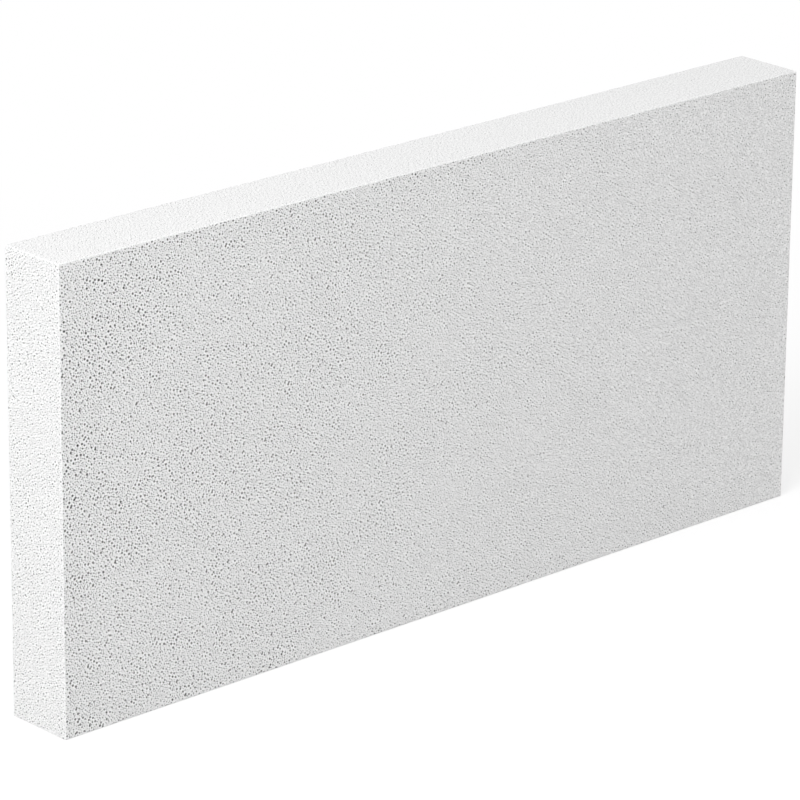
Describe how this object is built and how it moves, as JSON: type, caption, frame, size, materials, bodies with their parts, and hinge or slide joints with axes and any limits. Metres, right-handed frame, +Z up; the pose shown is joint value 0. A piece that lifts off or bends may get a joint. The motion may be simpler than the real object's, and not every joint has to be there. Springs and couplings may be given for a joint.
{
  "type": "aerated concrete partition block",
  "caption": "Thin rectangular block of autoclaved aerated concrete with flat wire-cut faces and open pores, laid on edge in thin mortar joints to build partition walls.",
  "frame": {"origin": "middle of the bottom bed face, on the floor", "axes": "+X along the course, +Y through the wall, +Z up from bed face to bed face"},
  "size_m": [0.625, 0.05, 0.3],
  "materials": {
    "aerated_concrete": "matt, wire-cut, pale grey-white with open pores about a millimetre wide"
  },
  "bodies": {
    "root": {"partition_block": "aerated_concrete"}
  },
  "joints": []
}
